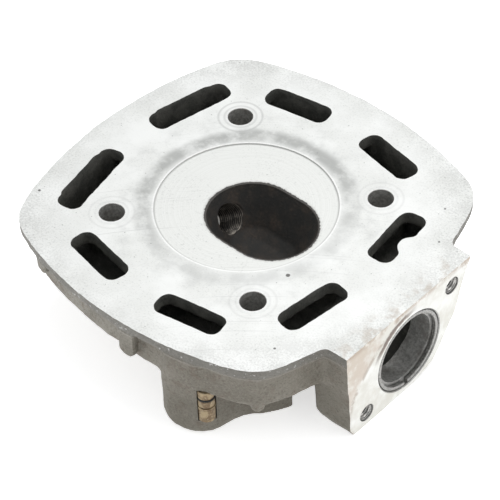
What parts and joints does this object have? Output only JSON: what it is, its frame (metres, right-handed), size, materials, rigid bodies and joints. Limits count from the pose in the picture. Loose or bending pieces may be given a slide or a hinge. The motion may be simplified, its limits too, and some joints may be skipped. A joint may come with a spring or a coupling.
{
  "type": "cylinder head",
  "caption": "Bare water-cooled two-stroke cylinder head with a machined gasket deck, coolant slots, an offset chamber and a square outlet pad.",
  "frame": {"origin": "centre of the footprint on the surface that the head stands on, with the head lying on its outer side", "axes": "+X towards the outlet pad, +Z out of the gasket deck, along the cylinder axis"},
  "size_m": [0.1172, 0.1146, 0.0324],
  "materials": {
    "cast_aluminium": "machined deck and outlet face, rough as-cast sides",
    "spring_steel": "dull spring steel",
    "insert_steel": "bright wound wire",
    "brass": "turned, slightly tarnished",
    "rubber": "matte black"
  },
  "bodies": {
    "root": {"head_casting": "cast_aluminium", "outlet_spring_ring": "spring_steel", "upper_thread_insert": "insert_steel", "lower_thread_insert": "insert_steel", "brass_insert": "brass", "insert_clip": "brass", "insert_o_ring": "rubber"}
  },
  "joints": []
}
